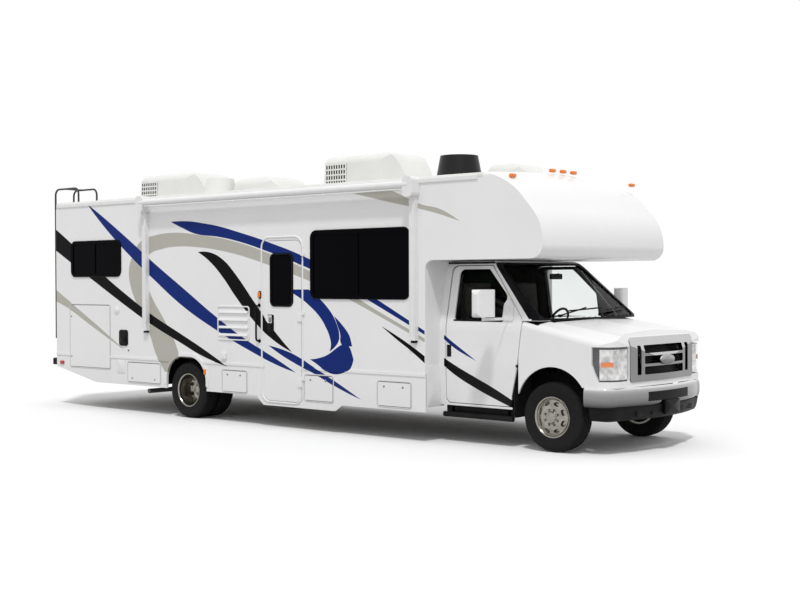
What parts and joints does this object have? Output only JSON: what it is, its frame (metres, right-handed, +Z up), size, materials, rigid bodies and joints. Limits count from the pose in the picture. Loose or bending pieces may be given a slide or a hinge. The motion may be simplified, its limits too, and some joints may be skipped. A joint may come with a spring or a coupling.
{
  "type": "motorhome",
  "caption": "Class C motorhome with a cab-over bunk on a cutaway van chassis, twin rear wheels, entry door, lockers, rolled awning, ladder and roof units.",
  "frame": {"origin": "on the ground, in the middle of the overall length and width", "axes": "+X forward, +Y to the driver's (left) side, +Z up"},
  "size_m": [9.675, 3.05, 3.43],
  "materials": {
    "frame_black": "satin",
    "engine": "matte",
    "body_white": "gloss",
    "panel_white": "gloss",
    "roof_white": "matte",
    "floor_board": "matte",
    "trim_black": "matte",
    "dark_tube": "gloss",
    "chrome": "polished",
    "wheel_steel": "polished",
    "axle_steel": "matte",
    "tyre": "matte",
    "glass": "gloss",
    "window_unit": "gloss",
    "seat_cloth": "matte",
    "lamp_clear": "gloss",
    "lamp_red": "gloss",
    "awning_white": "satin"
  },
  "bodies": {
    "root": {"chassis_frame": "frame_black", "engine_block": "engine", "rear_axle": "frame_black", "front_axle": "frame_black", "fuel_tank": "trim_black", "exhaust": "axle_steel", "coach_floor": "floor_board", "coach_right_wall": "panel_white", "coach_left_wall": "panel_white", "coach_rear_wall": "panel_white", "coach_roof": "roof_white", "cab_bulkhead": "panel_white", "front_cap": "panel_white", "right_skirt": "panel_white", "left_skirt": "panel_white", "storage_bins": "floor_board", "coach_windows": "window_unit", "awning": "awning_white", "roof_units": "roof_white", "ladder": "dark_tube", "rear_bumper": "frame_black", "cab_shell": "body_white", "windshield": "glass", "front_clip": "body_white", "grille": "chrome", "headlamps": "lamp_clear", "front_bumper": "chrome", "cab_floor": "frame_black", "seats": "seat_cloth", "dashboard": "trim_black", "running_boards": "dark_tube", "lamps": "lamp_red"},
    "left_steer_body": {"left_knuckle": "axle_steel"},
    "right_steer_body": {"right_knuckle": "axle_steel"},
    "tie_rod_body": {"tie_rod": "axle_steel"},
    "left_front_wheel": {"left_front_rim": "wheel_steel", "left_front_tyre": "tyre"},
    "right_front_wheel": {"right_front_rim": "wheel_steel", "right_front_tyre": "tyre"},
    "left_rear_wheels": {"left_rear_rims": "wheel_steel", "left_rear_tyres": "tyre"},
    "right_rear_wheels": {"right_rear_rims": "wheel_steel", "right_rear_tyres": "tyre"},
    "entry_door_body": {"entry_door": "panel_white", "entry_glass": "glass"},
    "right_door_body": {"right_cab_door": "body_white", "right_cab_glass": "glass", "right_mirror": "body_white"},
    "left_door_body": {"left_cab_door": "body_white", "left_cab_glass": "glass", "left_mirror": "body_white"},
    "hood_body": {"hood": "body_white"},
    "right_locker_rear_body": {"right_locker_rear": "panel_white"},
    "left_locker_rear_body": {"left_locker_rear": "panel_white"},
    "right_locker_1_body": {"right_locker_1": "panel_white"},
    "left_locker_1_body": {"left_locker_1": "panel_white"},
    "right_locker_2_body": {"right_locker_2": "panel_white"},
    "right_locker_3_body": {"right_locker_3": "panel_white"},
    "right_locker_4_body": {"right_locker_4": "panel_white"},
    "left_locker_4_body": {"left_locker_4": "panel_white"}
  },
  "joints": [
    {"name": "left_steering", "type": "hinge", "parent": "root", "child": "left_steer_body", "pos_m": [3.9575, 0.7765, 0.372], "axis": [0, 0, 1], "range_deg": [-30, 30]},
    {"name": "right_steering", "type": "hinge", "parent": "root", "child": "right_steer_body", "pos_m": [3.9575, -0.7765, 0.372], "axis": [0, 0, 1], "range_deg": [-30, 30]},
    {"name": "tie_rod_pivot", "type": "hinge", "parent": "left_steer_body", "child": "tie_rod_body", "pos_m": [3.8275, 0.7765, 0.2985], "axis": [0, 0, 1], "range_deg": [-30, 30]},
    {"name": "left_front_spin", "type": "hinge", "parent": "left_steer_body", "child": "left_front_wheel", "pos_m": [3.9575, 0.8815, 0.372], "axis": [0, 1, 0], "continuous": true},
    {"name": "right_front_spin", "type": "hinge", "parent": "right_steer_body", "child": "right_front_wheel", "pos_m": [3.9575, -0.8815, 0.372], "axis": [0, 1, 0], "continuous": true},
    {"name": "left_rear_spin", "type": "hinge", "parent": "root", "child": "left_rear_wheels", "pos_m": [-1.7065, 0.985, 0.372], "axis": [0, 1, 0], "continuous": true},
    {"name": "right_rear_spin", "type": "hinge", "parent": "root", "child": "right_rear_wheels", "pos_m": [-1.7065, -0.985, 0.372], "axis": [0, 1, 0], "continuous": true},
    {"name": "entry_hinge", "type": "hinge", "parent": "root", "child": "entry_door_body", "pos_m": [0.4875, -1.275, 1.3], "axis": [0, 0, 1], "range_deg": [0, 165]},
    {"name": "right_door_hinge", "type": "hinge", "parent": "root", "child": "right_door_body", "pos_m": [3.5015, -1.002, 0.9], "axis": [0, 0, 1], "range_deg": [0, 65]},
    {"name": "left_door_hinge", "type": "hinge", "parent": "root", "child": "left_door_body", "pos_m": [3.5015, 1.002, 0.9], "axis": [0, 0, -1], "range_deg": [0, 65]},
    {"name": "hood_hinge", "type": "hinge", "parent": "root", "child": "hood_body", "pos_m": [3.8645, 0, 1.3912], "axis": [0, -1, 0], "range_deg": [0, 42]},
    {"name": "right_locker_rear_hinge", "type": "hinge", "parent": "root", "child": "right_locker_rear_body", "pos_m": [-4.3365, -1.263, 1.038], "axis": [0, 0, -1], "range_deg": [0, 100]},
    {"name": "right_locker_1_hinge", "type": "hinge", "parent": "root", "child": "right_locker_1_body", "pos_m": [-2.6145, -1.263, 0.694], "axis": [-1, 0, 0], "range_deg": [0, 90]},
    {"name": "right_locker_2_hinge", "type": "hinge", "parent": "root", "child": "right_locker_2_body", "pos_m": [-0.75, -1.263, 0.406], "axis": [1, 0, 0], "range_deg": [0, 175]},
    {"name": "right_locker_3_hinge", "type": "hinge", "parent": "root", "child": "right_locker_3_body", "pos_m": [0.7645, -1.263, 0.377], "axis": [1, 0, 0], "range_deg": [0, 175]},
    {"name": "right_locker_4_hinge", "type": "hinge", "parent": "root", "child": "right_locker_4_body", "pos_m": [1.9725, -1.263, 0.386], "axis": [1, 0, 0], "range_deg": [0, 175]},
    {"name": "left_locker_rear_hinge", "type": "hinge", "parent": "root", "child": "left_locker_rear_body", "pos_m": [-4.3365, 1.263, 1.038], "axis": [0, 0, 1], "range_deg": [0, 100]},
    {"name": "left_locker_1_hinge", "type": "hinge", "parent": "root", "child": "left_locker_1_body", "pos_m": [-2.6145, 1.263, 0.694], "axis": [1, 0, 0], "range_deg": [0, 90]},
    {"name": "left_locker_4_hinge", "type": "hinge", "parent": "root", "child": "left_locker_4_body", "pos_m": [1.9725, 1.263, 0.386], "axis": [-1, 0, 0], "range_deg": [0, 175]}
  ],
  "couplings": [
    {"joint": "right_steering", "follows": "left_steering", "ratio": 1},
    {"joint": "tie_rod_pivot", "follows": "left_steering", "ratio": -1}
  ]
}
